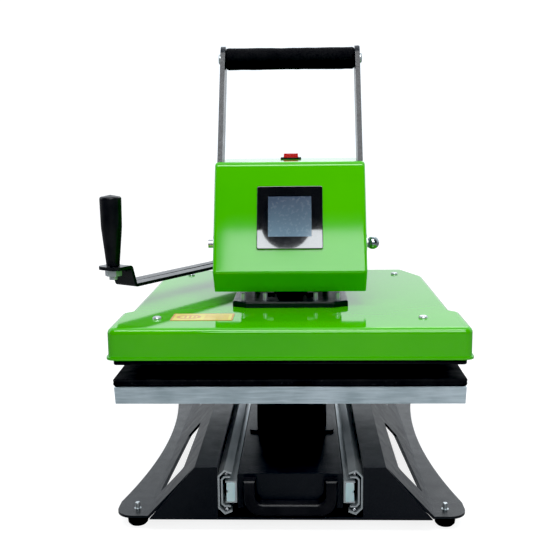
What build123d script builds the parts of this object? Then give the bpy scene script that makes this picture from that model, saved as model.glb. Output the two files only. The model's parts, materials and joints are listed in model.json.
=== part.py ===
"""Swing-away tabletop heat press with a pull-out lower platen.

Row frame: +X to the operator's right, +Y away from the operator, +Z up.
The origin is the centre of the foot pattern on the table. All sizes are in millimetres.
"""
import os
from math import cos, hypot, radians, sin

from build123d import *

os.makedirs("parts", exist_ok=True)

# ---------------------------------------------------------------- driving dimensions
platen_size = 380.0          # square of both platens
base_length = 524.0          # front plate to rear panel
foot_height = 15.0
deck_height = 76.0           # top of the sheet base above the table
sheet = 3.0                  # thickness of the base sheet
stroke = 14.3                # downward travel of the heated head
lever_turn = 35.0            # forward turn of the lever that gives the full stroke, degrees

# heights of the stack under and over the garment
platen_top = 167.7
platen_thick = 19.2
pad_top = 177.2
heat_face = 191.8
cover_bottom = 199.6
cover_top = 233.7
press_plate_top = 240.7

# places along Y
front = -base_length / 2
platen_y = front + platen_size / 2
column_y = 178.0

# lever shaft, its hood and its grip
shaft_y, shaft_z = -132.0, 306.7
shaft_r = 8.0
grip_y, grip_z = -16.0, 531.0
hood_half = 90.0
hood_sheet = 1.5
hood_top = 403.0
hood_rear = 22.0
fold_y, fold_z = -172.5, 277.8
lip_y, lip_z = -154.1, 252.0
face_angle = radians(65.92)  # the hood's sloped face, from the horizontal
face_rise = (cos(face_angle), sin(face_angle))
arm_inner, arm_outer = 82.5, 88.5

# drawer slides
rail_mid = 46.25             # height of the slides' centre line
rail_half = 26.25
rail_web = 80.0              # outer face of the outer rail's web
rail_length = 366.0

# column and swing arm
column_r = 30.0
column_top = 346.0
hub_r = 46.0
hub_low, hub_high = 262.0, 342.0
running = 0.06               # radial clearance of a turning or sliding fit

feet = [(x, y) for x in (-174.0, 174.0) for y in (-238.0, 238.0)]
guide_spots = [(x, y) for x in (-44.0, 44.0) for y in (-62.0, -2.0)]
guide_r = 6.0
stud_spots = [(-56.0, -148.0), (-30.0, -148.0), (30.0, -148.0), (56.0, -148.0), (-60.0, 6.0), (60.0, 6.0)]
stud_r = 3.2
cover_screw_spots = [(-148.0, -219.0), (148.0, -219.0), (-147.0, 77.0), (147.0, 77.0)]


def finish(block, name):
    """Label a finished piece and write it."""
    block.part.label = name
    export_step(block.part, f"parts/{name}.step")


def sheet_outline(points, thickness):
    """Closed outline of a bent sheet: the given line, and the same line set off to its left, mitred."""
    back = []
    last = len(points) - 1
    for i, (x, y) in enumerate(points):
        normals = []
        for a, b in ((i - 1, i), (i, i + 1)):
            if a >= 0 and b <= last:
                dx, dy = points[b][0] - points[a][0], points[b][1] - points[a][1]
                length = hypot(dx, dy)
                normals.append((-dy / length, dx / length))
        first, second = normals[0], normals[-1]
        share = thickness / (1 + first[0] * second[0] + first[1] * second[1])
        back.append((x + share * (first[0] + second[0]), y + share * (first[1] + second[1])))
    return [*points, *reversed(back)]


def hexagon(across_flats):
    """Corner radius of a hexagon with the given width across its flats."""
    return across_flats / 2 / cos(radians(30))


# ---------------------------------------------------------------- base
deck_inner, deck_outer = rail_web, 105.0
bend_x = 159.0
flange_x, waist_x = 196.0, 172.0
flange_top = foot_height + sheet
plate_half = base_length / 2 - sheet
tab_r = 20.0
window = [(-211.0, 24.0), (-211.0, 55.0), (-56.0, 58.0), (-62.0, 40.0)]

for side, s in (("left", -1), ("right", 1)):
    with BuildPart() as base_side:
        section = [(deck_inner, foot_height), (deck_inner, deck_height), (deck_outer, deck_height),
                   (bend_x, flange_top), (flange_x + 4, flange_top)]
        with BuildSketch(Plane.XZ):
            with BuildLine():
                Polyline(*sheet_outline([(s * x, z) for x, z in section], -sheet * s), close=True)
            make_face()
        extrude(amount=plate_half, both=True)
        # the floor flange is waisted between the feet and rounded around them
        with BuildSketch(Plane.XY):
            with BuildLine():
                Line((0, -plate_half), (s * (flange_x - tab_r), -plate_half))
                RadiusArc((s * (flange_x - tab_r), -plate_half), (s * flange_x, tab_r - plate_half), -s * tab_r)
                Line((s * flange_x, tab_r - plate_half), (s * flange_x, -222))
                ThreePointArc((s * flange_x, -222), (s * waist_x, 0), (s * flange_x, 222))
                Line((s * flange_x, 222), (s * flange_x, plate_half - tab_r))
                RadiusArc((s * flange_x, plate_half - tab_r), (s * (flange_x - tab_r), plate_half), -s * tab_r)
                Line((s * (flange_x - tab_r), plate_half), (0, plate_half))
                Line((0, plate_half), (0, -plate_half))
            make_face()
        extrude(amount=deck_height, mode=Mode.INTERSECT)
        # two tapering windows in the sloped wall
        for end in (1, -1):
            with BuildSketch(Plane.YZ.offset(s * 100)):
                with BuildLine():
                    Polyline(*[(y * end, z) for y, z in window], close=True)
                window_face = make_face()
                fillet(window_face.vertices(), 5)
            extrude(amount=s * 90, mode=Mode.SUBTRACT)
        with Locations(*[(x, y, foot_height) for x, y in feet if x * s > 0]):
            Cylinder(4.0, 20, mode=Mode.SUBTRACT)
    finish(base_side, f"base_side_{side}")

with BuildPart() as base_floor:
    with Locations((0, 0, foot_height + sheet / 2)):
        Box(2 * rail_web, base_length - 2 * sheet, sheet)
    fillet(base_floor.edges().filter_by(Axis.Y).group_by(Axis.Z)[-1], 0.6)
finish(base_floor, "base_floor")

with BuildPart() as front_plate:
    with BuildSketch(Plane.XZ.offset(-front)):
        with BuildLine():
            Polyline((-bend_x + 2, foot_height), (-deck_outer, deck_height), (-rail_web, deck_height),
                     (-rail_web, flange_top), (rail_web, flange_top), (rail_web, deck_height),
                     (deck_outer, deck_height), (bend_x - 2, foot_height), close=True)
        make_face()
    extrude(amount=-sheet)
finish(front_plate, "front_plate")

inlet_x, inlet_z = -104.0, 40.0
with BuildPart() as rear_panel:
    with BuildSketch(Plane.XZ.offset(front)):
        with BuildLine():
            Polyline((-bend_x + 2, foot_height), (-deck_outer, deck_height),
                     (deck_outer, deck_height), (bend_x - 2, foot_height), close=True)
        make_face()
        with Locations((inlet_x, inlet_z)):
            Rectangle(27, 20, mode=Mode.SUBTRACT)
        with Locations(*[(0, z) for z in (34, 44, 54)]):
            SlotOverall(90, 4, mode=Mode.SUBTRACT)
    extrude(amount=sheet)
finish(rear_panel, "rear_panel")

with BuildPart() as power_inlet:
    inlet_face = Plane.XZ.offset(front - sheet)
    with BuildSketch(inlet_face):
        with Locations((inlet_x, inlet_z)):
            RectangleRounded(38, 22, 4)
    extrude(amount=-2.5)
    with BuildSketch(inlet_face):
        with Locations((inlet_x, inlet_z)):
            Rectangle(27, 20)
    extrude(amount=22)
    with BuildSketch(inlet_face.offset(-2.5)):
        with Locations((inlet_x, inlet_z)):
            Rectangle(23, 15)
    extrude(amount=15, mode=Mode.SUBTRACT)
    with BuildSketch(inlet_face.offset(11)):
        with Locations(*[(inlet_x + dx, inlet_z + dz) for dx, dz in ((-6, -1.5), (0, 2.5), (6, -1.5))]):
            Rectangle(2, 4)
    extrude(amount=-9)
finish(power_inlet, "power_inlet")

bridge_top = deck_height + 4
bridge_front, bridge_rear = 118.0, 258.0
anchor_spots = [(x, column_y + dy) for x in (-42, 42) for dy in (-42, 42)]
with BuildPart() as column_bridge:
    with BuildSketch(Plane.XY.offset(deck_height)):
        with Locations((0, (bridge_front + bridge_rear) / 2)):
            RectangleRounded(2 * deck_outer, bridge_rear - bridge_front, 6)
        with Locations(*anchor_spots):
            Circle(5, mode=Mode.SUBTRACT)
    extrude(amount=4)
finish(column_bridge, "column_bridge")

with BuildPart() as rubber_feet:
    for x, y in feet:
        with BuildSketch(Plane.XZ.offset(-y)):
            with BuildLine():
                Polyline((x + 4, foot_height), (x + 12.8, foot_height), (x + 11.2, 2.5), (x + 9, 0),
                         (x + 7.5, 0), (x + 7.5, 5), (x + 4, 5), close=True)
            make_face()
        revolve(axis=Axis((x, y, 0), (0, 0, 1)))
finish(rubber_feet, "rubber_feet")

stud_r, stud_height = 2.7, 7.0
with BuildPart() as foot_bolts:
    with BuildSketch(Plane.XY.offset(5)):
        with Locations(*feet):
            Circle(4)
    extrude(amount=flange_top - 5)
    with BuildSketch(Plane.XY.offset(flange_top)):
        with Locations(*feet):
            Circle(stud_r)
    extrude(amount=stud_height)
    fillet(foot_bolts.faces().group_by(Axis.Z)[-1].edges(), 0.8)
finish(foot_bolts, "foot_bolts")

# ---------------------------------------------------------------- drawer slides
outer_profile = [(64.0, 22.75), (72.5, rail_half), (rail_web, 18.75),
                 (rail_web, -18.75), (72.5, -rail_half), (64.0, -22.75)]
middle_profile = [(66.0, 17.9), (73.0, 17.9), (76.5, 14.4), (76.5, -14.4), (73.0, -17.9), (66.0, -17.9)]
carriage_half = 59.0
inner_profile = [(71.5, 12.6), (carriage_half, 12.6), (carriage_half, -12.6), (71.5, -12.6)]
rail_front = front + 2


def rail_sections(profile, thickness, start):
    """Cross-sections of one member of the left and right slides, at the given Y."""
    with BuildSketch(Plane.XZ.offset(-start)) as sections:
        for s in (-1, 1):
            with BuildLine():
                outline = [(s * x, rail_mid + dz) for x, dz in profile]
                Polyline(*sheet_outline(outline, thickness * s), close=True)
            make_face()
    return sections.sketch


def ball_spots(x, dz, first, last, count):
    """Centres of the bearing balls above and below the slides' centre line, on both sides."""
    pitch = (last - first) / (count - 1)
    return [(s * x, first + i * pitch, rail_mid + flip * dz)
            for s in (-1, 1) for flip in (-1, 1) for i in range(count)]


with BuildPart() as outer_rails:
    extrude(rail_sections(outer_profile, -2.0, rail_front), amount=-rail_length)
finish(outer_rails, "outer_rails")

with BuildPart() as middle_rails:
    extrude(rail_sections(middle_profile, -1.8, rail_front + 1.5), amount=6 - rail_length)
finish(middle_rails, "middle_rails")

with BuildPart() as inner_rails:
    extrude(rail_sections(inner_profile, 1.8, rail_front + 1), amount=4 - rail_length)
finish(inner_rails, "inner_rails")

with BuildPart() as outer_balls:
    with Locations(*ball_spots(70.9, 20.7, rail_front + 4, -36, 8)):
        Sphere(2.3)
finish(outer_balls, "outer_balls")

with BuildPart() as inner_balls:
    with Locations(*ball_spots(68.5, 14.35, rail_front + 8, -36, 8)):
        Sphere(1.4)
finish(inner_balls, "inner_balls")

with BuildPart() as rail_bumpers:
    for s in (-1, 1):
        with BuildSketch(Plane.XZ.offset(-rail_front)):
            with Locations((s * 65.6, rail_mid)):
                Rectangle(9.4, 21.4)
            with Locations((s * 70.3, rail_mid + 1)):
                Circle(1.8, mode=Mode.SUBTRACT)
        extrude(amount=-14)
    fillet(rail_bumpers.edges().filter_by(Axis.Y).group_by(Axis.Z)[-1], 1.2)
    fillet(rail_bumpers.edges().filter_by(Axis.Y).group_by(Axis.Z)[0], 1.2)
finish(rail_bumpers, "rail_bumpers")

# ---------------------------------------------------------------- drawer
carriage_top = 65.0
carriage_front = front + 10
carriage_rear = rail_front + rail_length - 5
with BuildPart() as carriage:
    with BuildSketch(Plane.XZ.offset(-carriage_front)):
        with BuildLine():
            Polyline(*sheet_outline([(-carriage_half, 24), (-carriage_half, carriage_top),
                                     (carriage_half, carriage_top), (carriage_half, 24)], -sheet), close=True)
        make_face()
    extrude(amount=carriage_front - carriage_rear)
    fillet(carriage.edges().filter_by(Axis.Y).group_by(Axis.Z)[-1], 2.5)
    for y in (carriage_front + sheet / 2, carriage_rear - sheet / 2):
        with Locations((0, y, (24 + carriage_top - sheet) / 2)):
            Box(2 * (carriage_half - sheet), sheet, carriage_top - sheet - 24)
finish(carriage, "carriage")

handle_half, handle_low, handle_high = 52.0, 18.6, 61.0
handle_gap = 38.0
with BuildPart() as pull_handle:
    with BuildSketch(Plane.XZ.offset(-carriage_front)):
        with Locations((0, (handle_low + handle_high) / 2)):
            Rectangle(2 * handle_half, handle_high - handle_low)
        fillet(vertices().group_by(Axis.Y)[0], 19)
        with Locations((0, handle_high)):
            Rectangle(2 * handle_gap, 2 * (handle_high - handle_low - 15), mode=Mode.SUBTRACT)
        fillet([v for v in vertices() if abs(abs(v.X) - handle_gap) < 1 and v.Y < handle_high - 5], 9)
    extrude(amount=12)
    fillet(pull_handle.faces().sort_by(Axis.Y)[0].edges(), 3.5)
finish(pull_handle, "pull_handle")

pedestal_half, pedestal_front, pedestal_rear = 44.0, -110.0, -34.0
with BuildPart() as pedestal:
    pedestal_y = (pedestal_front + pedestal_rear) / 2
    platen_under = platen_top - platen_thick
    with BuildSketch(Plane.XY.offset(carriage_top)):
        with Locations((0, pedestal_y)):
            RectangleRounded(2 * pedestal_half, pedestal_rear - pedestal_front, 5)
            RectangleRounded(2 * pedestal_half - 6, pedestal_rear - pedestal_front - 6, 3, mode=Mode.SUBTRACT)
    extrude(amount=platen_under - carriage_top)
    with BuildSketch(Plane.XY.offset(carriage_top)):
        with Locations((0, pedestal_y)):
            RectangleRounded(2 * pedestal_half + 18, pedestal_rear - pedestal_front + 18, 6)
            RectangleRounded(2 * pedestal_half - 6, pedestal_rear - pedestal_front - 6, 3, mode=Mode.SUBTRACT)
    extrude(amount=sheet)
    with BuildSketch(Plane.XY.offset(platen_under)):
        with Locations((0, pedestal_y)):
            RectangleRounded(2 * pedestal_half + 60, pedestal_rear - pedestal_front + 60, 10)
            RectangleRounded(2 * pedestal_half - 6, pedestal_rear - pedestal_front - 6, 3, mode=Mode.SUBTRACT)
    extrude(amount=-5)
finish(pedestal, "pedestal")

with BuildPart() as lower_platen:
    with BuildSketch(Plane.XY.offset(platen_top)):
        with Locations((0, platen_y)):
            Rectangle(platen_size, platen_size)
    extrude(amount=-platen_thick, taper=2.5)
    chamfer(lower_platen.edges().filter_by(Axis.Z, reverse=True).group_by(Axis.Z)[-1], 0.8)
finish(lower_platen, "lower_platen")

with BuildPart() as silicone_pad:
    with BuildSketch(Plane.XY.offset(platen_top)):
        with Locations((0, platen_y)):
            RectangleRounded(platen_size + 3.6, platen_size + 3.6, 5)
    extrude(amount=pad_top - platen_top)
    fillet(silicone_pad.faces().sort_by(Axis.Z)[-1].edges(), 1.2)
finish(silicone_pad, "silicone_pad")

# ---------------------------------------------------------------- column
flange_thick = 10.0
with BuildPart() as column:
    with BuildSketch(Plane.XY.offset(bridge_top)):
        with Locations((0, column_y)):
            RectangleRounded(110, 110, 8)
        with Locations(*anchor_spots):
            Circle(5, mode=Mode.SUBTRACT)
    extrude(amount=flange_thick)
    with BuildSketch(Plane.XY.offset(bridge_top)):
        with Locations((0, column_y)):
            Circle(column_r)
    extrude(amount=column_top - bridge_top)
    with BuildSketch(Plane.XY.offset(bridge_top)):
        with Locations((0, column_y)):
            Circle(column_r - 6)
    extrude(amount=column_top - bridge_top, mode=Mode.SUBTRACT)
finish(column, "column")

with BuildPart() as anchor_bolts:
    with BuildSketch(Plane.XY.offset(bridge_top + flange_thick)):
        with Locations(*anchor_spots):
            RegularPolygon(hexagon(16), 6)
    extrude(amount=7)
    with BuildSketch(Plane.XY.offset(bridge_top + flange_thick)):
        with Locations(*anchor_spots):
            Circle(5)
    extrude(amount=-14)
finish(anchor_bolts, "anchor_bolts")

with BuildPart() as thrust_collar:
    with BuildSketch(Plane.XY.offset(246)):
        with Locations((0, column_y)):
            Circle(column_r + 6)
            Circle(column_r, mode=Mode.SUBTRACT)
    extrude(amount=hub_low - 0.3 - 246)
    chamfer(thrust_collar.faces().sort_by(Axis.Z)[0].edges().sort_by(SortBy.LENGTH)[-1], 1.5)
finish(thrust_collar, "thrust_collar")

with BuildPart() as column_cap:
    with BuildSketch(Plane.XY.offset(column_top)):
        with Locations((0, column_y)):
            Circle(column_r + 6)
    extrude(amount=8)
    fillet(column_cap.faces().sort_by(Axis.Z)[-1].edges(), 4)
    with BuildSketch(Plane.XY.offset(column_top)):
        with Locations((0, column_y)):
            Circle(column_r - 6)
    extrude(amount=-10)
finish(column_cap, "column_cap")

# ---------------------------------------------------------------- swing arm
bar_start = Vector(-196.265, -143.432)
bar_end = Vector(-30.0, 133.5)
bar_run = (bar_end - bar_start).normalized()
bar_width, bar_thick = 32.0, 4.0
bar_top = hub_low
bar_cross = Vector(-bar_run.Y, bar_run.X)
bar_screw_spots = [((bar_end - bar_run * setback).X, (bar_end - bar_run * setback).Y) for setback in (12, 34)]

with BuildPart() as arm_hub:
    with BuildSketch(Plane.XY.offset(hub_low)):
        with Locations((0, column_y)):
            Circle(hub_r)
    extrude(amount=hub_high - hub_low)
    fillet(arm_hub.faces().sort_by(Axis.Z)[-1].edges(), 3)
    with BuildSketch(Plane.XY.offset(hub_low)):
        inside = bar_end + bar_run * 22
        lug = [inside + bar_cross * 18, inside - bar_cross * 18,
               bar_end - bar_cross * 18 - bar_run * 45, bar_end + bar_cross * 18 - bar_run * 45]
        with BuildLine():
            Polyline(*[(p.X, p.Y) for p in lug], close=True)
        make_face()
    extrude(amount=10)
    with BuildSketch(Plane.XY.offset(hub_low)):
        with Locations((0, column_y)):
            Circle(column_r + running)
    extrude(amount=hub_high - hub_low, mode=Mode.SUBTRACT)
    with Locations(*[(x, y, hub_low) for x, y in bar_screw_spots]):
        Cylinder(3, 40, mode=Mode.SUBTRACT)
finish(arm_hub, "arm_hub")

head_rear = 16.0
head_plate_half = 64.0
side_plate_inner = 56.0
with BuildPart() as arm_beam:
    with Locations((0, (head_rear + column_y) / 2, 303)):
        Box(64, column_y - head_rear, 54)
        Box(54, column_y - head_rear, 44, mode=Mode.SUBTRACT)
    with Locations((0, head_rear + 4, 297)):
        Box(2 * head_plate_half, 8, 70)
    fillet(arm_beam.edges().filter_by(Axis.Y).group_by(SortBy.LENGTH)[-1], 1.5)
    with Locations((0, column_y, 303)):
        Cylinder(hub_r, 80, mode=Mode.SUBTRACT)
finish(arm_beam, "arm_beam")

boss_r = 20.0
with BuildPart() as head_side_plates:
    for s in (-1, 1):
        with BuildSketch(Plane.YZ.offset(s * side_plate_inner)):
            with BuildLine():
                Polyline((shaft_y, shaft_z - boss_r), (-80, 262), (head_rear, 262), (head_rear, 332),
                         (shaft_y, shaft_z + boss_r), close=True)
            make_face()
            with Locations((shaft_y, shaft_z)):
                Circle(boss_r)
                Circle(11, mode=Mode.SUBTRACT)
            with Locations((-52, 298)):
                SlotOverall(60, 22, mode=Mode.SUBTRACT)
        extrude(amount=s * (head_plate_half - side_plate_inner))
finish(head_side_plates, "head_side_plates")

with BuildPart() as shaft_bushes:
    for s in (-1, 1):
        with BuildSketch(Plane.YZ.offset(s * side_plate_inner)):
            with Locations((shaft_y, shaft_z)):
                Circle(11)
                Circle(shaft_r + running, mode=Mode.SUBTRACT)
        extrude(amount=s * (head_plate_half - side_plate_inner))
        with BuildSketch(Plane.YZ.offset(s * head_plate_half)):
            with Locations((shaft_y, shaft_z)):
                Circle(14)
                Circle(shaft_r + running, mode=Mode.SUBTRACT)
        extrude(amount=s * 2)
finish(shaft_bushes, "shaft_bushes")

guide_plate_low, guide_plate_high = 262.0, 272.0
bush_r = 9.0
with BuildPart() as guide_plate:
    with BuildSketch(Plane.XY.offset(guide_plate_low)):
        with Locations((0, (head_rear - 80) / 2)):
            Rectangle(2 * side_plate_inner, head_rear + 80)
        with Locations(*guide_spots):
            Circle(bush_r, mode=Mode.SUBTRACT)
    extrude(amount=guide_plate_high - guide_plate_low)
finish(guide_plate, "guide_plate")

with BuildPart() as guide_bushes:
    with BuildSketch(Plane.XY.offset(guide_plate_low - 4)):
        with Locations(*guide_spots):
            Circle(bush_r)
    extrude(amount=guide_plate_high - guide_plate_low + 4)
    with BuildSketch(Plane.XY.offset(guide_plate_high)):
        with Locations(*guide_spots):
            Circle(bush_r + 2.5)
    extrude(amount=2.5)
    with BuildSketch(Plane.XY.offset(guide_plate_low - 4)):
        with Locations(*guide_spots):
            Circle(guide_r + running)
    extrude(amount=20, mode=Mode.SUBTRACT)
finish(guide_bushes, "guide_bushes")

spring_low, spring_high = guide_plate_high + 2.5, 300.0
wire_r = 0.9
with BuildPart() as return_springs:
    for x, y in guide_spots:
        with BuildLine():
            coil = Helix(5.0, spring_high - spring_low - 2 * wire_r, 8.4, center=(x, y, spring_low + wire_r))
        with BuildSketch(Plane(coil @ 0, z_dir=coil % 0)):
            Circle(wire_r)
        sweep(path=coil)
finish(return_springs, "return_springs")

tab_top = 285.0
tab_length = 34.0
grip_reach = 22.0
drop_foot, drop_head = 2.0, 9.0
bar_bottom = bar_top - bar_thick
with BuildPart() as swing_bar:
    bar_plane = Plane(origin=(bar_start.X, bar_start.Y, 0), x_dir=(-bar_run.X, -bar_run.Y, 0),
                      z_dir=(bar_cross.X, bar_cross.Y, 0))
    bar_length = (bar_end - bar_start).length
    rise = 1.0 if (bar_plane.y_dir.Z > 0) else -1.0
    with BuildSketch(bar_plane.offset(-bar_width / 2)) as bar_side:
        with BuildLine():
            line = [(-bar_length, rise * bar_bottom), (drop_foot, rise * bar_bottom),
                    (drop_head, rise * (tab_top - bar_thick)), (tab_length, rise * (tab_top - bar_thick))]
            Polyline(*sheet_outline(line, rise * bar_thick), close=True)
        make_face()
        bend_corners = [v for v in bar_side.vertices() if abs(v.X) < tab_length / 2]
        outer_bends = [v for v in bend_corners if min(abs(abs(v.Y) - z) for z in (bar_bottom, tab_top)) < 0.1]
        inner_bends = [v for v in bend_corners if min(abs(abs(v.Y) - z) for z in (bar_top, tab_top - bar_thick)) < 0.1]
        fillet(outer_bends, bar_thick + 1)
        fillet(inner_bends, 1)
    extrude(amount=bar_width)
    fillet(swing_bar.edges().filter_by(Axis.Z).sort_by(Axis.Y)[:2], 8)
    with Locations(*[(x, y, bar_bottom) for x, y in bar_screw_spots]):
        Cylinder(3, 20, mode=Mode.SUBTRACT)
    grip_foot = bar_start - bar_run * grip_reach
    with Locations((grip_foot.X, grip_foot.Y, tab_top)):
        Cylinder(5, 20, mode=Mode.SUBTRACT)
    # shallow groove along the top of the bar
    groove = [bar_start + bar_run * d + bar_cross * w
              for d, w in ((8, 0.6), (bar_length - 148, 3.2), (bar_length - 130, -1.5), (8, -0.6))]
    with BuildSketch(Plane.XY.offset(bar_top)):
        with BuildLine():
            Polyline(*[(p.X, p.Y) for p in groove], close=True)
        make_face()
    extrude(amount=-2, mode=Mode.SUBTRACT)
finish(swing_bar, "swing_bar")

with BuildPart() as bar_screws:
    with BuildSketch(Plane.XY.offset(bar_bottom)):
        with Locations(*bar_screw_spots):
            Circle(3)
    extrude(amount=12)
    with BuildSketch(Plane.XY.offset(bar_bottom)):
        with Locations(*bar_screw_spots):
            Circle(5)
    extrude(amount=-3.3)
finish(bar_screws, "bar_screws")

grip_plane = Plane(origin=(grip_foot.X, grip_foot.Y, tab_top), x_dir=(1, 0, 0), z_dir=(0, 0, 1))
grip_pin_r = 5.0
with BuildPart() as grip_bolt:
    with BuildSketch(grip_plane.offset(-16)):
        Circle(grip_pin_r)
    extrude(amount=16 + 70)
    with BuildSketch(grip_plane.offset(-bar_thick)):
        RegularPolygon(hexagon(17), 6)
    extrude(amount=-7.5)
finish(grip_bolt, "grip_bolt")

with BuildPart() as crank_grip:
    with BuildSketch(Plane(origin=grip_plane.origin, x_dir=(1, 0, 0), z_dir=(0, -1, 0))) as grip_section:
        bore = grip_pin_r + running
        with BuildLine():
            Polyline((0, 70.5), (bore, 70.5), (bore, 0.5), (8.0, 0.5), (8.0, 3.5), (12.2, 46), (12.7, 81),
                     (0, 83.4), close=True)
        make_face()
        fillet([v for v in grip_section.vertices() if abs(v.Y - 46) < 1], 60)
        fillet([v for v in grip_section.vertices() if abs(v.Y - 81) < 1], 2.5)
    revolve(axis=Axis(grip_plane.origin, (0, 0, 1)))
finish(crank_grip, "crank_grip")

# ---------------------------------------------------------------- lever, hood and screen
lever_run = Vector(0, grip_y - shaft_y, grip_z - shaft_z)
lever_length = lever_run.length
lever_tilt = lever_run.normalized()
arm_depth = 32.0


def arm_plane(x):
    """Plane in which a lever arm's outline lies, at the given X, with its local X up the arm."""
    return Plane(origin=(x, shaft_y, shaft_z), x_dir=(0, lever_tilt.Y, lever_tilt.Z), z_dir=(1, 0, 0))


with BuildPart() as lever_arms:
    for s in (-1, 1):
        with BuildSketch(arm_plane(s * arm_inner)):
            with Locations((lever_length / 2, 0)):
                SlotCenterToCenter(lever_length, arm_depth)
            Circle(5, mode=Mode.SUBTRACT)
            with Locations((lever_length, 0)):
                Circle(4, mode=Mode.SUBTRACT)
        extrude(amount=s * (arm_outer - arm_inner))
finish(lever_arms, "lever_arms")

with BuildPart() as handle_rod:
    with BuildSketch(Plane.YZ.offset(-arm_inner)):
        with Locations((grip_y, grip_z)):
            Circle(6)
    extrude(amount=2 * arm_inner)
finish(handle_rod, "handle_rod")

with BuildPart() as foam_grip:
    with BuildSketch(Plane.YZ.offset(-arm_inner)):
        with Locations((grip_y, grip_z)):
            Circle(14.5)
            Circle(6, mode=Mode.SUBTRACT)
    extrude(amount=2 * arm_inner)
    fillet(foam_grip.edges().filter_by(GeomType.CIRCLE).group_by(SortBy.RADIUS)[-1], 3)
finish(foam_grip, "foam_grip")

with BuildPart() as grip_bolts:
    for s in (-1, 1):
        with BuildSketch(Plane.YZ.offset(s * arm_inner)):
            with Locations((grip_y, grip_z)):
                Circle(4)
        extrude(amount=s * (arm_outer - arm_inner))
        with BuildSketch(Plane.YZ.offset(s * arm_outer)):
            with Locations((grip_y, grip_z)):
                Circle(6.5)
        extrude(amount=s * 3.5)
    fillet(grip_bolts.faces().sort_by(Axis.X)[0].edges(), 2)
    fillet(grip_bolts.faces().sort_by(Axis.X)[-1].edges(), 2)
finish(grip_bolts, "grip_bolts")

shaft_end = 98.0
with BuildPart() as pivot_shaft:
    with BuildSketch(Plane.YZ.offset(-arm_inner)):
        with Locations((shaft_y, shaft_z)):
            Circle(shaft_r)
    extrude(amount=2 * arm_inner)
    with BuildSketch(Plane.YZ.offset(-shaft_end)):
        with Locations((shaft_y, shaft_z)):
            Circle(5)
    extrude(amount=2 * shaft_end)
finish(pivot_shaft, "pivot_shaft")

# box cam: the follower pin stays at one Y while the slot turns past it and pushes it down evenly
cam_inner, cam_thick = 20.0, 8.0
pin_y, pin_z = 28.0, -30.0
pin_r = 5.0


def slot_point(turn):
    """Follower pin's place in the lever's own frame, from the shaft, after the given turn in degrees."""
    a = radians(turn)
    z = pin_z - stroke * turn / lever_turn
    return (shaft_y + pin_y * cos(a) + z * sin(a), shaft_z - pin_y * sin(a) + z * cos(a))


with BuildPart() as cam_plates:
    for s in (-1, 1):
        with BuildSketch(Plane.YZ.offset(s * cam_inner)):
            with BuildLine(mode=Mode.PRIVATE):
                pin_path = ThreePointArc(slot_point(0), slot_point(lever_turn / 2), slot_point(lever_turn))
            with Locations((shaft_y, shaft_z)):
                Circle(15)
            SlotArc(pin_path, 24)
            with BuildLine():
                Polyline((shaft_y + 12, shaft_z + 9), slot_point(0), slot_point(lever_turn / 2),
                         slot_point(lever_turn), (shaft_y - 13, shaft_z - 7), close=True)
            make_face()
            SlotArc(pin_path, 2 * pin_r + 1.4, mode=Mode.SUBTRACT)
            with Locations((shaft_y, shaft_z)):
                Circle(shaft_r, mode=Mode.SUBTRACT)
        extrude(amount=s * cam_thick)
finish(cam_plates, "cam_plates")

face_out = Vector(0, -face_rise[1], face_rise[0])
face_length = (hood_top - fold_z) / face_rise[1]
top_front_y = fold_y + face_rise[0] * face_length
screen_up = 66.5             # height of the screen's centre up the sloped face


def on_face(up, out=0.0):
    """Plane parallel to the hood's sloped face, its origin 'up' from the fold and 'out' from the metal."""
    return Plane(origin=(0, fold_y + face_rise[0] * up + face_out.Y * out,
                         fold_z + face_rise[1] * up + face_out.Z * out),
                 x_dir=(1, 0, 0), z_dir=tuple(face_out))


switch_y = 0.0
switch_half = (12.0, 14.5)
with BuildPart() as hood:
    with BuildSketch(Plane.YZ):
        with BuildLine():
            Polyline((lip_y, lip_z), (fold_y, fold_z), (top_front_y, hood_top), (hood_rear, hood_top),
                     (hood_rear, 335), (-140, lip_z), close=True)
        make_face()
    extrude(amount=hood_half, both=True)
    fillet(hood.edges().filter_by(Axis.X).sort_by(Axis.Y)[0], 4)
    fillet(hood.edges().filter_by(Axis.X).group_by(Axis.Z)[-1].sort_by(Axis.Y)[0], 8)
    rounded = [e for e in hood.edges() if abs(abs(e.center().X) - hood_half) < 0.01
               and (e.center().Z > hood_top - 9 or e.center().Y < -141 and e.center().Z > lip_z + 0.5)
               and e.center().Y < hood_rear - 0.5]
    fillet(rounded, 4)
    open_faces = [f for f in hood.faces() if abs(f.normal_at().X) < 0.01 and
                  (f.normal_at().Y > 0.4 or f.normal_at().Z < -0.99)]
    offset(amount=-hood_sheet, openings=open_faces)
    for s in (-1, 1):
        with BuildSketch(arm_plane(s * (arm_inner - 0.3))):
            with Locations((lever_length / 2, 0)):
                SlotCenterToCenter(lever_length, arm_depth + 0.6)
        extrude(amount=s * (hood_half - hood_sheet - arm_inner + 0.3), mode=Mode.SUBTRACT)
    with Locations((0, shaft_y, shaft_z)):
        Cylinder(5, 2 * hood_half + 10, rotation=(0, 90, 0), mode=Mode.SUBTRACT)
    with BuildSketch(on_face(screen_up, 5)):
        Rectangle(60, 60)
    extrude(amount=-10, mode=Mode.SUBTRACT)
    with Locations((0, switch_y, hood_top)):
        Box(2 * switch_half[0], 2 * switch_half[1], 10, mode=Mode.SUBTRACT)
finish(hood, "hood")

with BuildPart() as screen_bezel:
    with BuildSketch(on_face(screen_up)):
        RectangleRounded(77.5, 77.5, 2)
    extrude(amount=3)
    fillet(screen_bezel.faces().sort_by(Axis.Y)[0].edges(), 0.8)
    with BuildSketch(on_face(screen_up)):
        Rectangle(60, 60)
    extrude(amount=-6)
    with BuildSketch(on_face(screen_up + 1, 3)):
        Rectangle(51, 50)
    extrude(amount=-9, mode=Mode.SUBTRACT)
finish(screen_bezel, "screen_bezel")

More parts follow.
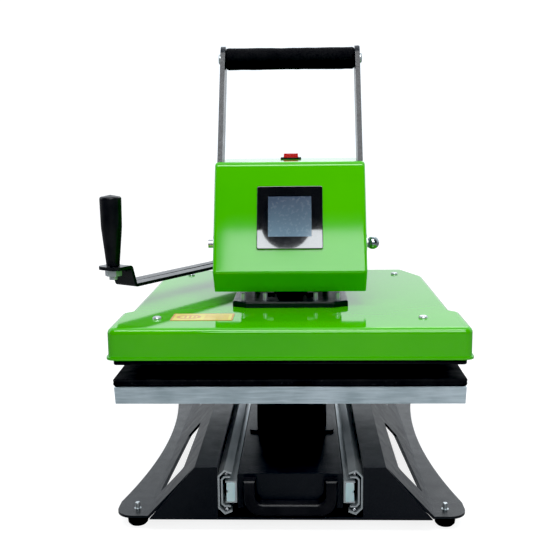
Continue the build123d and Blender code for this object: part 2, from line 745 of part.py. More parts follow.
with BuildPart() as display:
    with BuildSketch(on_face(screen_up + 1, 2.2)):
        Rectangle(51, 50)
    extrude(amount=-4)
finish(display, "display")

with BuildPart() as control_board:
    with BuildSketch(on_face(screen_up, -6)):
        Rectangle(74, 66)
    extrude(amount=-1.6)
    with BuildSketch(on_face(screen_up, -7)):
        with Locations((-20, 16)):
            Rectangle(16, 10)
        with Locations((18, 18)):
            Rectangle(12, 12)
    extrude(amount=-3)
finish(control_board, "control_board")

with BuildPart() as switch_flange:
    with BuildSketch(Plane.XY.offset(hood_top)):
        with Locations((0, switch_y)):
            RectangleRounded(27, 33, 2)
    extrude(amount=2)
    with Locations((0, switch_y, hood_top - 8)):
        Box(2 * switch_half[0], 2 * switch_half[1], 16)
        Box(20, 26.8, 30, mode=Mode.SUBTRACT)
    with Locations((0, switch_y, hood_top - 15)):
        Box(2 * switch_half[0], 2 * switch_half[1], 2)
finish(switch_flange, "switch_flange")

rocker_z = hood_top - 0.5
rocker_tilt = 7.0
with BuildPart() as rocker_switch:
    tilt = radians(rocker_tilt)
    with BuildSketch(Plane(origin=(-9.4, switch_y, rocker_z), x_dir=(0, cos(tilt), -sin(tilt)), z_dir=(1, 0, 0))):
        with BuildLine():
            Polyline((-12.3, 0), (-12.3, 6.6), (0, 4.4), (12.3, 6.6), (12.3, 0), (5, -8), (-5, -8), close=True)
        make_face()
    extrude(amount=18.8)
    fillet(rocker_switch.edges().filter_by(Axis.X).group_by(Axis.Z)[-1], 1)
finish(rocker_switch, "rocker_switch")

with BuildPart() as hood_washers:
    for s in (-1, 1):
        with BuildSketch(Plane.YZ.offset(s * hood_half)):
            with Locations((shaft_y, shaft_z)):
                Circle(10.8)
                Circle(5, mode=Mode.SUBTRACT)
        extrude(amount=s * 1.6)
finish(hood_washers, "hood_washers")

nut_face = hood_half + 1.6
with BuildPart() as acorn_nuts:
    for s in (-1, 1):
        with BuildSketch(Plane.YZ.offset(s * nut_face)):
            with Locations((shaft_y, shaft_z)):
                RegularPolygon(hexagon(17), 6)
        extrude(amount=s * 7)
        with Locations((s * (nut_face + 7), shaft_y, shaft_z)):
            Sphere(7.7)
        with BuildSketch(Plane.YZ.offset(s * hood_half)):
            with Locations((shaft_y, shaft_z)):
                Circle(5)
        extrude(amount=s * (shaft_end - hood_half), mode=Mode.SUBTRACT)
finish(acorn_nuts, "acorn_nuts")

# ---------------------------------------------------------------- heated head
boss_half = 172.0
boss_top = 211.0
with BuildPart() as heat_platen:
    with BuildSketch(Plane.XY.offset(heat_face)):
        with Locations((0, platen_y)):
            RectangleRounded(platen_size, platen_size, 4)
    extrude(amount=cover_bottom - 0.2 - heat_face)
    chamfer(heat_platen.faces().sort_by(Axis.Z)[0].edges(), 1)
    with BuildSketch(Plane.XY.offset(heat_face + 4)):
        with Locations((0, platen_y)):
            RectangleRounded(2 * boss_half, 2 * boss_half, 12)
    extrude(amount=boss_top - heat_face - 4)
finish(heat_platen, "heat_platen")

rod_r = 5.5
with BuildPart() as heating_element:
    with BuildLine():
        element_path = FilletPolyline((-130, 60, boss_top + rod_r), (-130, -220, boss_top + rod_r),
                                      (-45, -220, boss_top + rod_r), (-45, 70, boss_top + rod_r),
                                      (45, 70, boss_top + rod_r), (45, -220, boss_top + rod_r),
                                      (130, -220, boss_top + rod_r), (130, 60, boss_top + rod_r), radius=36)
    with BuildSketch(Plane(element_path @ 0, z_dir=element_path % 0)):
        Circle(rod_r)
    sweep(path=element_path)
finish(heating_element, "heating_element")

insulation_low, insulation_high = 222.0, 231.0
with BuildPart() as insulation:
    with BuildSketch(Plane.XY.offset(insulation_low)):
        with Locations((0, platen_y)):
            RectangleRounded(310, 320, 10)
        with Locations(*stud_spots):
            Circle(stud_r, mode=Mode.SUBTRACT)
    extrude(amount=insulation_high - insulation_low)
finish(insulation, "insulation")

cover_front, cover_rear = front - 8, 126.0
ear_half, waist_half, tail_half = 194.5, 185.3, 162.5
cover_points = [(0, cover_front), (ear_half, cover_front), (ear_half, -183), (waist_half, -174),
                (waist_half, 65), (tail_half, cover_rear), (0, cover_rear)]


def cover_outline(height, grow=0.0):
    """Plan outline of the head cover at the given height, grown evenly."""
    with BuildSketch(Plane.XY.offset(height)) as outline:
        with BuildLine():
            Polyline(*cover_points)
            mirror(about=Plane.YZ)
        make_face()
        fillet([v for v in outline.vertices() if abs(v.X) > 1], 9)
        if grow:
            offset(amount=grow)
    return outline.sketch


lip_height = 2.6
with BuildPart() as head_cover:
    extrude(cover_outline(cover_bottom), amount=cover_top - cover_bottom)
    fillet(head_cover.faces().sort_by(Axis.Z)[-1].edges(), 6)
    offset(amount=-1.5, openings=head_cover.faces().sort_by(Axis.Z)[0])
    extrude(cover_outline(cover_bottom, 2.0) - cover_outline(cover_bottom), amount=lip_height)
    with BuildSketch(Plane.XY.offset(cover_top + 1)):
        with Locations(*stud_spots):
            Circle(stud_r)
        with Locations(*cover_screw_spots):
            Circle(2)
    extrude(amount=-5, mode=Mode.SUBTRACT)
finish(head_cover, "head_cover")

with BuildPart() as cover_screws:
    with BuildSketch(Plane.XY.offset(cover_top)):
        with Locations(*cover_screw_spots):
            Circle(5)
    extrude(amount=2.8)
    fillet(cover_screws.faces().group_by(Axis.Z)[-1].edges(), 2.2)
    with BuildSketch(Plane.XY.offset(cover_top)):
        with Locations(*cover_screw_spots):
            Circle(2)
    extrude(amount=-2.2)
finish(cover_screws, "cover_screws")

with BuildPart() as caution_label:
    with BuildSketch(Plane.XY.offset(cover_top)):
        with Locations((-97.5, -211.5)):
            RectangleRounded(69.5, 36, 2)
    extrude(amount=0.4)
finish(caution_label, "caution_label")

plate_half_x, plate_front, plate_rear = 68.5, -162.0, 18.0
with BuildPart() as press_plate:
    with BuildSketch(Plane.XY.offset(cover_top)):
        with BuildLine():
            Polyline((-52, plate_front), (52, plate_front), (plate_half_x, plate_front + 10),
                     (plate_half_x, plate_rear), (-plate_half_x, plate_rear),
                     (-plate_half_x, plate_front + 10), close=True)
        make_face()
        with Locations(*stud_spots):
            Circle(stud_r, mode=Mode.SUBTRACT)
    extrude(amount=press_plate_top - cover_top)
    rim = press_plate.faces().sort_by(Axis.Z)[-1].edges().filter_by(GeomType.LINE)
    chamfer(rim, 1.5)
finish(press_plate, "press_plate")

with BuildPart() as press_studs:
    with BuildSketch(Plane.XY.offset(boss_top)):
        with Locations(*stud_spots):
            Circle(stud_r)
    extrude(amount=249.6 - boss_top)
    chamfer(press_studs.faces().group_by(Axis.Z)[-1].edges(), 0.6)
finish(press_studs, "press_studs")

with BuildPart() as guide_posts:
    with BuildSketch(Plane.XY.offset(press_plate_top)):
        with Locations(*guide_spots):
            Circle(guide_r)
    extrude(amount=spring_high + 5 - press_plate_top)
    with BuildSketch(Plane.XY.offset(spring_high)):
        with Locations(*guide_spots):
            Circle(10.8)
    extrude(amount=5)
finish(guide_posts, "guide_posts")

with BuildPart() as follower_bracket:
    with BuildSketch(Plane.YZ.offset(-16)):
        with BuildLine():
            Polyline((shaft_y + pin_y - 10, press_plate_top), (shaft_y + pin_y + 10, press_plate_top),
                     (shaft_y + pin_y + 10, shaft_z + pin_z), (shaft_y + pin_y - 10, shaft_z + pin_z), close=True)
        make_face()
        with Locations((shaft_y + pin_y, shaft_z + pin_z)):
            Circle(10)
            Circle(pin_r, mode=Mode.SUBTRACT)
    extrude(amount=32)
finish(follower_bracket, "follower_bracket")

with BuildPart() as follower_pin:
    with BuildSketch(Plane.YZ.offset(-cam_inner - cam_thick - 3)):
        with Locations((shaft_y + pin_y, shaft_z + pin_z)):
            Circle(pin_r)
    extrude(amount=2 * (cam_inner + cam_thick + 3))
finish(follower_pin, "follower_pin")
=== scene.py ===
import json
import math

import bpy
from mathutils import Matrix, Vector, noise


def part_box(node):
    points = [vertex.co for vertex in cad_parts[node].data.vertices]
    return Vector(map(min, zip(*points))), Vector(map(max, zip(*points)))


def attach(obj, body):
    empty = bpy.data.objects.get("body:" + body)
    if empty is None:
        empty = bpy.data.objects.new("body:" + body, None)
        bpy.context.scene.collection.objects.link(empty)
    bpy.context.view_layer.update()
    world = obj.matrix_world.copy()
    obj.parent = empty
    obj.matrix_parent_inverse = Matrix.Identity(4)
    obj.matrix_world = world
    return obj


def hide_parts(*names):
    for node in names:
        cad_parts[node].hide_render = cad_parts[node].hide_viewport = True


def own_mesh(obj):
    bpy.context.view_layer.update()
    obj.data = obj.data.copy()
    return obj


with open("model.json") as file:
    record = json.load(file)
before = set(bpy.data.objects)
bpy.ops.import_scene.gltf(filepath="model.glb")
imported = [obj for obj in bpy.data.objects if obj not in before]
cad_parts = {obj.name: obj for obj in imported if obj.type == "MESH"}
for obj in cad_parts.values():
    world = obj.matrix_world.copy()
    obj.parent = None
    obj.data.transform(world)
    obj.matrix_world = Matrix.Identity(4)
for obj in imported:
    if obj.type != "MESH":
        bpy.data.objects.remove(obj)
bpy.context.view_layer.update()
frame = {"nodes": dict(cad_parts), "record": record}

NODES = frame["nodes"]


# ---------------------------------------------------------------- shader kit
class Finish:
    """One material: a Principled shader with helpers that add procedural detail in object space."""

    def __init__(self, name, **sockets):
        self.material = bpy.data.materials.new(name)
        self.material.use_nodes = True
        self.tree = self.material.node_tree
        self.shader = self.tree.nodes["Principled BSDF"]
        self.place = self.tree.nodes.new("ShaderNodeTexCoord").outputs["Object"]
        for socket, value in sockets.items():
            self.shader.inputs[socket.replace("_", " ")].default_value = value

    def node(self, kind, links=(), **settings):
        made = self.tree.nodes.new(kind)
        for key, value in settings.items():
            setattr(made, key, value)
        for socket, source in links:
            if hasattr(source, "is_output"):
                self.tree.links.new(source, made.inputs[socket])
            else:
                made.inputs[socket].default_value = source
        return made

    def noise(self, scale, detail=2.0, stretch=(1, 1, 1), rough=0.5):
        mapped = self.node("ShaderNodeMapping", [("Vector", self.place), ("Scale", stretch)])
        made = self.node("ShaderNodeTexNoise", [("Vector", mapped.outputs[0]), ("Scale", scale),
                                                ("Detail", detail), ("Roughness", rough)])
        return made.outputs[0]

    def cells(self, scale, feature="F1"):
        made = self.node("ShaderNodeTexVoronoi", [("Vector", self.place), ("Scale", scale)], feature=feature)
        return made.outputs["Distance"]

    def ramp(self, source, *stops):
        made = self.node("ShaderNodeValToRGB", [("Fac", source)])
        band = made.color_ramp
        while len(band.elements) < len(stops):
            band.elements.new(0.5)
        for element, (at, colour) in zip(band.elements, stops):
            element.position = at
            element.color = (*colour, 1)
        return made.outputs[0]

    def level(self, source, low, high, start=0.0, end=1.0):
        made = self.node("ShaderNodeMapRange", [("Value", source), ("From Min", start), ("From Max", end),
                                                ("To Min", low), ("To Max", high)])
        return made.outputs[0]

    def math(self, operation, a, b=0.0, c=0.0):
        return self.node("ShaderNodeMath", [(0, a), (1, b), (2, c)], operation=operation).outputs[0]

    def mix(self, factor, a, b):
        made = self.node("ShaderNodeMix", data_type="RGBA")
        for socket, source in ((made.inputs["Factor"], factor), (made.inputs[6], a), (made.inputs[7], b)):
            if hasattr(source, "is_output"):
                self.tree.links.new(source, socket)
            else:
                socket.default_value = (*source, 1) if isinstance(source, tuple) else source
        return made.outputs[2]

    def axes(self):
        return self.node("ShaderNodeSeparateXYZ", [("Vector", self.place)]).outputs

    def paint(self, source):
        self.tree.links.new(source, self.shader.inputs["Base Color"])

    def rough(self, source):
        self.tree.links.new(source, self.shader.inputs["Roughness"])

    def relief(self, *layers):
        """Stacks bumps: each layer is (height, strength, depth in metres)."""
        normal = None
        for height, strength, depth in layers:
            links = [("Height", height), ("Strength", strength), ("Distance", depth)]
            if normal is not None:
                links.append(("Normal", normal))
            normal = self.node("ShaderNodeBump", links).outputs[0]
        self.tree.links.new(normal, self.shader.inputs["Normal"])


def coated(name, dark, light, gloss, peel, peel_depth, coat=0.0, coat_gloss=0.1, coat_ior=1.5,
           base_gloss=0.12, wear=None):
    """Powder coat or gloss enamel: orange peel, slight tone drift, and a little dust in the roughness."""
    made = Finish(name, Coat_Weight=coat, Coat_Roughness=coat_gloss, Coat_IOR=coat_ior,
                  Specular_IOR_Level=base_gloss)
    made.paint(made.ramp(made.noise(9, 4), (0.3, dark), (0.7, light)))
    made.rough(made.level(made.noise(55, 5), gloss[0], gloss[1], 0.3, 0.7))
    layers = [(made.noise(peel, 1.5), 0.6, peel_depth), (made.noise(22, 1), 0.25, peel_depth * 2)]
    if wear is not None:
        layers.append((made.noise(wear, 3), 0.3, peel_depth))
    made.relief(*layers)
    return made


def metal(name, dark, light, gloss, grain=160, stretch=(1, 1, 1), depth=2e-5, blotch=30, metallic=1.0):
    """Bare or plated metal: cloudy tone, uneven polish and a fine grain."""
    made = Finish(name, Metallic=metallic)
    made.paint(made.ramp(made.noise(blotch, 4), (0.3, dark), (0.7, light)))
    made.rough(made.level(made.noise(grain, 4, stretch), gloss[0], gloss[1], 0.3, 0.7))
    made.relief((made.noise(grain * 1.5, 3, stretch), 0.4, depth))
    return made


def moulded(name, dark, light, gloss, grain=900, depth=3e-5, **sockets):
    """Moulded plastic or rubber: faint tone drift and a fine moulded grain."""
    made = Finish(name, **sockets)
    made.paint(made.ramp(made.noise(40, 3), (0.3, dark), (0.7, light)))
    made.rough(made.level(made.noise(120, 3), gloss[0], gloss[1], 0.3, 0.7))
    made.relief((made.noise(grain, 2), 0.5, depth))
    return made


def green_enamel():
    return coated("green_enamel", (0.055, 0.440, 0.0), (0.072, 0.490, 0.0), (0.26, 0.34), 210, 6e-5,
                  coat=1.0, coat_gloss=0.07, coat_ior=1.57, base_gloss=0.0)


def silicone():
    """Dark silicone rubber with closed cells just under its skin and a little lint."""
    made = Finish("silicone", Specular_IOR_Level=0.08)
    lint = made.level(made.noise(420, 2, (1, 0.3, 1)), 0, 1, 0.66, 0.72)
    ground = made.ramp(made.noise(30, 4), (0.3, (0.006, 0.006, 0.007)), (0.7, (0.013, 0.013, 0.014)))
    made.paint(made.mix(lint, ground, (0.03, 0.03, 0.032)))
    made.rough(made.level(made.noise(70, 4), 0.6, 0.85, 0.3, 0.7))
    made.relief((made.cells(900), 0.5, 8e-5), (made.noise(45, 2), 0.4, 2e-4))
    return made


def foam():
    """Closed-cell foam: fine open pores over a dull skin."""
    made = Finish("foam", Sheen_Weight=0.04, Specular_IOR_Level=0.08)
    pores = made.cells(1100)
    made.paint(made.ramp(pores, (0.15, (0.012, 0.012, 0.013)), (0.6, (0.004, 0.004, 0.005))))
    made.rough(made.level(made.noise(60, 3), 0.72, 0.95, 0.3, 0.7))
    made.relief((pores, 0.7, 1.5e-4), (made.noise(140, 3), 0.4, 2e-4))
    return made


def aluminium_plate():
    """Milled and satin: streaks along the cut, some cloudy patches."""
    made = Finish("aluminium_plate", Metallic=0.55)
    streak = made.noise(140, 3, (0.25, 0.25, 3))
    cloud = made.noise(28, 5)
    made.paint(made.ramp(made.math("MULTIPLY_ADD", streak, 0.5, made.math("MULTIPLY", cloud, 0.5)),
                         (0.36, (0.42, 0.52, 0.57)), (0.62, (0.66, 0.76, 0.82))))
    made.rough(made.level(cloud, 0.38, 0.6, 0.3, 0.7))
    made.relief((streak, 0.35, 5e-5), (made.noise(500, 2), 0.3, 4e-5))
    return made


def screen():
    """A dim panel behind a clear cover, with a painted reflection that makes it lighter towards the bottom,
    and the grid of its cells.
    """
    made = Finish("screen", Coat_Weight=1.0, Coat_Roughness=0.05, Specular_IOR_Level=0.4)
    low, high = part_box("display")
    x, y, z = made.axes()
    # painted reflection: the panel's colour grows lighter from its top down to its bottom
    painted_reflection_fall = made.level(z, 1, 0, low.z, high.z)
    cloud = made.level(made.noise(35, 3), -0.05, 0.05, 0.3, 0.7)
    tone = made.ramp(made.math("ADD", painted_reflection_fall, cloud), (0.05, (0.004, 0.030, 0.075)),
                     (0.5, (0.035, 0.085, 0.14)), (1.0, (0.10, 0.19, 0.27)))
    cell_pitch = 0.0004
    across = made.math("PINGPONG", x, cell_pitch)
    up = made.math("PINGPONG", z, cell_pitch)
    line = made.math("MAXIMUM", made.level(across, 0, 0.2, cell_pitch * 0.8, cell_pitch),
                     made.level(up, 0, 0.2, cell_pitch * 0.8, cell_pitch))
    made.paint(made.mix(line, tone, (0.01, 0.03, 0.06)))
    made.rough(made.level(made.noise(300, 2), 0.2, 0.3, 0.3, 0.7))
    return made


def yellow_label():
    """A vinyl label with a border, a plain oval and a block of plain stripes in place of the words."""
    made = Finish("yellow_label", Coat_Weight=0.5, Coat_Roughness=0.12)
    low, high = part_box("caution_label")
    centre, half = (low + high) / 2, (high - low) / 2
    x, y, z = made.axes()
    u = made.math("DIVIDE", made.math("SUBTRACT", x, centre.x), half.x)
    v = made.math("DIVIDE", made.math("SUBTRACT", y, centre.y), half.y)
    u_size, v_size = made.math("ABSOLUTE", u), made.math("ABSOLUTE", v)
    border = made.math("MAXIMUM", made.math("GREATER_THAN", u_size, 0.94),
                       made.math("GREATER_THAN", v_size, 0.88))
    oval_u = made.math("DIVIDE", made.math("ADD", u, 0.45), 0.40)
    oval_v = made.math("DIVIDE", v, 0.60)
    reach = made.math("SQRT", made.math("ADD", made.math("POWER", oval_u, 2), made.math("POWER", oval_v, 2)))
    ring = made.math("MULTIPLY", made.math("LESS_THAN", reach, 1.0), made.math("GREATER_THAN", reach, 0.72))
    waves = made.math("MULTIPLY", made.math("LESS_THAN", reach, 0.60),
                      made.math("GREATER_THAN", made.math("SINE", made.math("MULTIPLY", u, 42)), 0.1))
    rows = made.math("GREATER_THAN", made.math("SINE", made.math("MULTIPLY", v, 17)), 0.35)
    columns = made.math("MULTIPLY", made.math("GREATER_THAN", u, 0.06), made.math("LESS_THAN", u, 0.84))
    stripes = made.math("MULTIPLY", rows, columns)
    stripes = made.math("MULTIPLY", stripes, made.math("LESS_THAN", v_size, 0.78))
    printed = made.math("MAXIMUM", made.math("MAXIMUM", border, ring), made.math("MAXIMUM", waves, stripes))
    ground = made.ramp(made.noise(60, 3), (0.3, (0.70, 0.60, 0.02)), (0.7, (0.80, 0.70, 0.04)))
    made.paint(made.mix(printed, ground, (0.62, 0.27, 0.01)))
    made.rough(made.level(made.noise(200, 2), 0.3, 0.42, 0.3, 0.7))
    return made


def wool():
    """Mineral wool: pale strands, matt and deeply uneven."""
    made = Finish("wool", Sheen_Weight=0.4)
    strands = made.noise(300, 6, (1, 4, 2), 0.7)
    made.paint(made.ramp(strands, (0.3, (0.45, 0.42, 0.34)), (0.7, (0.80, 0.77, 0.68))))
    made.rough(made.level(strands, 0.85, 1.0, 0.3, 0.7))
    made.relief((strands, 0.8, 6e-4))
    return made


def circuit():
    """A green circuit board: a brick pattern stands for its copper tracks."""
    made = Finish("circuit", Coat_Weight=0.4, Coat_Roughness=0.2)
    tracks = made.node("ShaderNodeTexBrick",
                       [("Vector", made.place), ("Scale", 160.0), ("Mortar Size", 0.04),
                        ("Color1", (0.01, 0.09, 0.03, 1)), ("Color2", (0.014, 0.12, 0.04, 1)),
                        ("Mortar", (0.10, 0.30, 0.12, 1))])
    made.paint(tracks.outputs["Color"])
    made.rough(made.level(made.noise(200, 2), 0.35, 0.55, 0.3, 0.7))
    return made


def element():
    """A sheathed heater, tinted straw to blue where it has been hot."""
    made = Finish("element", Metallic=1.0)
    made.paint(made.ramp(made.noise(35, 4), (0.3, (0.42, 0.33, 0.22)), (0.5, (0.36, 0.30, 0.28)),
                         (0.7, (0.20, 0.24, 0.34))))
    made.rough(made.level(made.noise(90, 3), 0.3, 0.5, 0.3, 0.7))
    made.relief((made.noise(700, 2), 0.4, 4e-5))
    return made


def hammered():
    """The lever's hammered paint: pebbled, glossy, close to black."""
    made = Finish("hammered", Coat_Weight=0.3, Coat_Roughness=0.15, Specular_IOR_Level=0.15)
    pebbles = made.cells(330, "SMOOTH_F1")
    made.paint(made.ramp(pebbles, (0.2, (0.035, 0.040, 0.048)), (0.8, (0.010, 0.011, 0.014))))
    made.rough(made.level(made.noise(80, 3), 0.25, 0.4, 0.3, 0.7))
    made.relief((pebbles, 0.8, 4e-4))
    return made


BLACK, CHARCOAL = (0.006, 0.006, 0.007), (0.012, 0.012, 0.014)
FINISHES = {
    "green_enamel": green_enamel(),
    "black_texture": coated("black_texture", (0.006, 0.007, 0.009), (0.011, 0.012, 0.015), (0.28, 0.42),
                            620, 5e-4, coat=0.4, coat_gloss=0.2, wear=1500),
    "black_satin": coated("black_satin", BLACK, (0.013, 0.013, 0.016), (0.24, 0.36), 420, 6e-5,
                          coat=0.4, coat_gloss=0.2),
    "zinc": metal("zinc", (0.50, 0.55, 0.57), (0.68, 0.72, 0.74), (0.30, 0.40), grain=45, depth=1e-5,
                  blotch=25, metallic=0.8),
    "chrome_nuts": metal("chrome_nuts", (0.30, 0.37, 0.38), (0.42, 0.48, 0.50), (0.04, 0.12), grain=300,
                         depth=6e-6),
    "bright_steel": metal("bright_steel", (0.50, 0.50, 0.52), (0.66, 0.66, 0.68), (0.12, 0.26),
                          stretch=(1, 1, 0.1)),
    "bronze": metal("bronze", (0.42, 0.27, 0.11), (0.58, 0.40, 0.18), (0.28, 0.45), grain=700, depth=5e-5),
    "spring_steel": metal("spring_steel", (0.20, 0.21, 0.23), (0.36, 0.37, 0.40), (0.25, 0.4)),
    "aluminium_plate": aluminium_plate(),
    "dark_platen": coated("dark_platen", (0.016, 0.016, 0.018), (0.030, 0.030, 0.033), (0.4, 0.55),
                          700, 4e-5),
    "silicone": silicone(),
    "foam": foam(),
    "feet_rubber": moulded("feet_rubber", BLACK, CHARCOAL, (0.6, 0.8), grain=600, depth=8e-5,
                            Specular_IOR_Level=0.1),
    "black_plastic": moulded("black_plastic", BLACK, CHARCOAL, (0.3, 0.45), grain=800, depth=3e-5,
                              Specular_IOR_Level=0.12, Coat_Weight=0.25, Coat_Roughness=0.12),
    "black_gloss": moulded("black_gloss", (0.003, 0.003, 0.004), (0.005, 0.005, 0.006), (0.03, 0.07),
                           grain=60, depth=4e-6, Coat_Weight=1.0, Coat_Roughness=0.02, Coat_IOR=2.0),
    "screen": screen(),
    "red_plastic": moulded("red_plastic", (0.42, 0.004, 0.002), (0.56, 0.008, 0.004), (0.12, 0.22), grain=500,
                           depth=1e-5, Subsurface_Weight=0.1, Subsurface_Scale=0.002, Specular_IOR_Level=0.2),
    "pale_plastic": moulded("pale_plastic", (0.42, 0.58, 0.60), (0.56, 0.70, 0.72), (0.35, 0.5), grain=500,
                            Subsurface_Weight=0.1, Subsurface_Scale=0.002),
    "circuit": circuit(),
    "element": element(),
    "wool": wool(),
    "yellow_label": yellow_label(),
}
HAMMERED = hammered()

for part in frame["record"]["subparts"]:
    mesh = NODES[part["node"]].data
    mesh.materials.clear()
    mesh.materials.append(FINISHES[part["material_slot"]].material)
NODES["lever_arms"].data.materials[0] = HAMMERED.material


# ---------------------------------------------------------------- mesh pieces
def piece(name, corners, faces, slot, body, replaced=None):
    """A smooth mesh piece that rides on a body and takes its finish from a slot."""
    mesh = bpy.data.meshes.new(name)
    mesh.from_pydata([tuple(c) for c in corners], [], faces)
    mesh.materials.append(FINISHES[slot].material)
    mesh.polygons.foreach_set("use_smooth", [True] * len(mesh.polygons))
    mesh.validate()
    made = bpy.data.objects.new(name, mesh)
    bpy.context.scene.collection.objects.link(made)
    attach(made, body)
    if replaced:
        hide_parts(replaced)
    return made


def loft(rings):
    """Quads between rings of equal length, with one face across each end."""
    corners = [c for ring in rings for c in ring]
    size = len(rings[0])
    faces = []
    for r in range(len(rings) - 1):
        for k in range(size):
            after = (k + 1) % size
            faces.append((r * size + k, r * size + after, (r + 1) * size + after, (r + 1) * size + k))
    faces.append(tuple(reversed(range(size))))
    faces.append(tuple(range((len(rings) - 1) * size, len(rings) * size)))
    return corners, faces


def foam_sleeve():
    """The foam sleeve: rounded ends, a faint waist in the middle, and uneven skin."""
    low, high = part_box("foam_grip")
    centre = (low + high) / 2
    radius = (high.y - low.y) / 2
    length = high.x - low.x
    steps, around, end_round = 150, 72, 0.0035
    tuck, waist = 0.0004, 0.0004        # room kept under the box for the skin, and depth of the waist
    rings = []
    for i in range(steps + 1):
        # stations crowd towards the two ends, where the profile turns in
        x = low.x + length * (0.5 - 0.5 * math.cos(math.pi * i / steps))
        to_end = min(x - low.x, high.x - x)
        turn_in = end_round - math.sqrt(max(end_round ** 2 - max(end_round - to_end, 0) ** 2, 0))
        ring = []
        for k in range(around):
            angle = 2 * math.pi * k / around
            spot = Vector((x, centre.y + radius * math.cos(angle), centre.z + radius * math.sin(angle)))
            skin = 0.00045 * (noise.noise(spot * 60) - 0.6) + 0.00015 * (noise.noise(spot * 400) - 0.6)
            squeeze = waist * math.cos(2 * math.pi * (x - centre.x) / length)
            r = radius - turn_in - tuck + skin - max(squeeze, 0)
            ring.append((x, centre.y + r * math.cos(angle), centre.z + r * math.sin(angle)))
        rings.append(ring)
    made = piece("foam_sleeve", *loft(rings), "foam", "lever", "foam_grip")
    return made


def pad_outline(half_x, half_y, corner, along=60, turning=12):
    """Points of a rounded rectangle, counter-clockwise, evenly many along each side and corner."""
    signs = ((1, 1), (-1, 1), (-1, -1), (1, -1))

    def on_corner(index, angle):
        sx, sy = signs[index % len(signs)]
        middle = Vector((sx * (half_x - corner), sy * (half_y - corner)))
        return middle + corner * Vector((math.cos(angle), math.sin(angle)))

    spots = []
    for turn in range(len(signs)):
        spots += [on_corner(turn, math.pi / 2 * (turn + k / turning)) for k in range(turning + 1)]
        start, target = spots[-1], on_corner(turn + 1, math.pi / 2 * (turn + 1))
        spots += [start.lerp(target, k / along) for k in range(1, along)]
    return spots


def silicone_sheet():
    """The silicone pad: soft rounded edges, slightly wavy sides, and a top that crowns very slightly."""
    low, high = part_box("silicone_pad")
    centre, half = (low + high) / 2, (high - low) / 2
    thick = high.z - low.z
    edge, side_dip, crown = 0.0026, 0.0004, 0.0006
    # the profile is (distance in from the side, height), from the middle of the underside to that of the top
    profile = [(0.25, low.z), (0.02, low.z)]
    profile += [(edge * (1 - math.cos(t)), low.z + edge * (1 - math.sin(t)))
                for t in (math.radians(a) for a in (75, 50, 25, 0))]
    profile += [(side_dip, low.z + thick / 2)]
    profile += [(edge * (1 - math.cos(t)), high.z - crown - edge * (1 - math.sin(t)))
                for t in (math.radians(a) for a in (0, 25, 50, 75, 90))]
    profile += [(0.012, high.z - crown * 2 / 3), (0.05, high.z - crown / 3), (0.10, high.z), (0.17, high.z)]
    corner_round, least_corner, least_half = 0.006, 0.0012, 0.004
    rings = []
    for inset, z in profile:
        shrink = min(inset, min(half.x, half.y) - least_half)
        corner = max(corner_round - shrink, least_corner)
        ring = []
        for spot in pad_outline(half.x - shrink, half.y - shrink, corner):
            out = spot.normalized()
            place = Vector((centre.x + spot.x, centre.y + spot.y, z))
            wave = 0.0007 * (noise.noise(place * 14) - 0.55)
            lift = 0
            if z > low.z + thick / 2:
                lift = 0.0005 * (noise.noise(place * 9 + Vector((7, 3, 1))) - 0.55)
            ring.append((place.x + out.x * wave, place.y + out.y * wave, z + lift))
        rings.append(ring)
    made = piece("silicone_sheet", *loft(rings), "silicone", "drawer", "silicone_pad")
    return made


def coil_springs():
    """The four return springs as real helices with closed ends."""
    low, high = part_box("return_springs")
    # the wire's radius, the rise of a free turn, and the closed turns at each end
    wire, pitch, dead = 0.0009, 0.005, 1.0
    post_x, post_rows = 0.044, (-0.062, -0.002)
    steps_per_turn, wire_sides = 28, 10
    posts = [(sx * post_x, y) for sx in (-1, 1) for y in post_rows]
    height = high.z - low.z
    coil = (high.x - low.x) / 2 - post_x - wire
    turns = (height - 2 * wire - 2 * dead * 2 * wire) / pitch + 2 * dead
    steps = int(turns * steps_per_turn)
    corners, faces = [], []
    for px, py in posts:
        rings = []
        for i in range(steps + 1):
            t = turns * i / steps
            closed_low = min(t, dead)
            closed_high = max(t - (turns - dead), 0)
            free = t - closed_low - closed_high
            z = low.z + wire + (closed_low + closed_high) * 2 * wire + free * pitch
            angle = 2 * math.pi * t
            out = Vector((math.cos(angle), math.sin(angle), 0))
            heart = Vector((px, py, z)) + out * coil
            rings.append([heart + wire * (out * math.cos(a) + Vector((0, 0, math.sin(a))))
                          for a in (2 * math.pi * k / wire_sides for k in range(wire_sides))])
        part_corners, part_faces = loft(rings)
        base = len(corners)
        corners += part_corners
        faces += [tuple(v + base for v in face) for face in part_faces]
    made = piece("coil_springs", corners, faces, "spring_steel", "swing_arm", "return_springs")
    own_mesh(made)
    return made


foam_sleeve()
silicone_sheet()
coil_springs()


# ---------------------------------------------------------------- stage, light and camera
def stage_mesh(name, corners, faces, finish):
    mesh = bpy.data.meshes.new(name)
    mesh.from_pydata(corners, [], faces)
    mesh.materials.append(finish.material)
    made = bpy.data.objects.new(name, mesh)
    bpy.context.scene.collection.objects.link(made)
    return made


def softbox(name, centre, aim, size, power, colour=(1, 1, 1)):
    data = bpy.data.lights.new(name, "AREA")
    data.shape, data.size, data.size_y = "RECTANGLE", *size
    data.energy, data.color = power, colour
    made = bpy.data.objects.new(name, data)
    made.location = centre
    made.rotation_euler = (Vector(aim) - Vector(centre)).to_track_quat("-Z", "Y").to_euler()
    made.visible_camera = False
    bpy.context.scene.collection.objects.link(made)
    return made


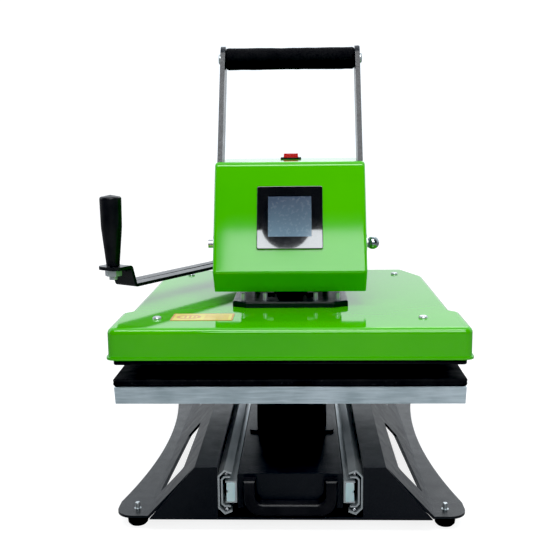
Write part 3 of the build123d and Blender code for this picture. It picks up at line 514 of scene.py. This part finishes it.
def floor():
    """A pale floor. Only the camera sees its glow, which makes it look white without lighting the object."""
    half, glow = 9.0, 0.85
    made = Finish("floor", Specular_IOR_Level=0.2, Emission_Color=(1, 1, 1, 1))
    seen_directly = made.node("ShaderNodeLightPath").outputs["Is Camera Ray"]
    made.tree.links.new(made.math("MULTIPLY", seen_directly, glow), made.shader.inputs["Emission Strength"])
    made.paint(made.ramp(made.noise(3, 3), (0.3, (0.26, 0.26, 0.26)), (0.7, (0.29, 0.29, 0.29))))
    made.rough(made.level(made.noise(8, 3), 0.7, 0.85))
    stage_mesh("floor", [(-half, -half, 0), (half, -half, 0), (half, half, 0), (-half, half, 0)],
               [(0, 1, 2, 3)], made)


def dark_ball():
    """A dark ball among the lights, which the glossy screen surround mirrors. It casts no shadow."""
    heart, radius, belts, around = Vector((-0.055, -2.08, 2.075)), 0.105, 16, 32
    dark = moulded("dark_ball", (0.010, 0.012, 0.016), (0.016, 0.018, 0.024), (0.7, 0.8))
    rings = [[heart + radius * Vector((math.sin(a) * math.cos(b), math.sin(a) * math.sin(b), math.cos(a)))
              for b in (2 * math.pi * k / around for k in range(around))]
             for a in (math.pi * i / belts for i in range(1, belts))]
    stage_mesh("light_stand_head", *loft(rings), dark).visible_shadow = False


def studio_world():
    """Light that is dim towards the front and bright behind, with a white background for the camera alone."""
    fade_reach, dim, full, background = 0.45, 0.05, 1.12, 1.2
    world = bpy.data.worlds.new("studio")
    bpy.context.scene.world = world
    world.use_nodes = True
    nodes, links = world.node_tree.nodes, world.node_tree.links
    direction = nodes.new("ShaderNodeTexCoord")
    split = nodes.new("ShaderNodeSeparateXYZ")
    links.new(direction.outputs["Generated"], split.inputs[0])
    fade = nodes.new("ShaderNodeMapRange")
    fade.interpolation_type = "SMOOTHSTEP"
    for socket, value in (("From Min", -fade_reach), ("From Max", fade_reach),
                          ("To Min", dim), ("To Max", full)):
        fade.inputs[socket].default_value = value
    links.new(split.outputs["Y"], fade.inputs["Value"])
    seen = nodes.new("ShaderNodeLightPath")
    white = nodes.new("ShaderNodeMath")
    white.operation = "MAXIMUM"
    bright = nodes.new("ShaderNodeMath")
    bright.operation = "MULTIPLY"
    bright.inputs[1].default_value = background
    links.new(seen.outputs["Is Camera Ray"], bright.inputs[0])
    links.new(bright.outputs[0], white.inputs[0])
    links.new(fade.outputs[0], white.inputs[1])
    links.new(white.outputs[0], nodes["Background"].inputs["Strength"])
    nodes["Background"].inputs["Color"].default_value = (0.89, 0.945, 1.0, 1)


def camera():
    """The camera in front, a little to the right, looking down by about ten degrees."""
    data = bpy.data.cameras.new("camera")
    data.lens, data.sensor_width, data.shift_x = 55.29, 36, 0.0036
    made = bpy.data.objects.new("camera", data)
    made.location = (0.0157, -1.1548, 0.4377)
    pitch_down, yaw_left, roll = math.radians(9.74), 0.03, -0.01
    turned = (Matrix.Rotation(yaw_left, 3, "Z") @ Matrix.Rotation(math.pi / 2 - pitch_down, 3, "X")
              @ Matrix.Rotation(roll, 3, "Z"))
    made.rotation_euler = turned.to_euler()
    bpy.context.scene.collection.objects.link(made)
    bpy.context.scene.camera = made


floor()
softbox("front_box", centre=(0.47, -2.20, 1.55), aim=(0.47, 0, 1.55), size=(1.6, 1.2), power=31,
        colour=(0.92, 0.97, 1.0))
softbox("top_box", centre=(-0.05, -1.10, 1.99), aim=(0, -0.15, 0.34), size=(1.6, 0.65), power=24)
softbox("rear_box", centre=(0.5, 2.4, 2.1), aim=(0, 0, 0.2), size=(1.6, 0.8), power=16)
softbox("left_box", centre=(-2.0, 0.2, 1.0), aim=(0, 0, 0.3), size=(1.0, 1.4), power=3)
dark_ball()
studio_world()
camera()

view = bpy.context.scene.view_settings
view.view_transform = "Standard"
view.use_curve_mapping = True
view.curve_mapping.black_level = (0.008, 0.008, 0.008)
view.curve_mapping.update()
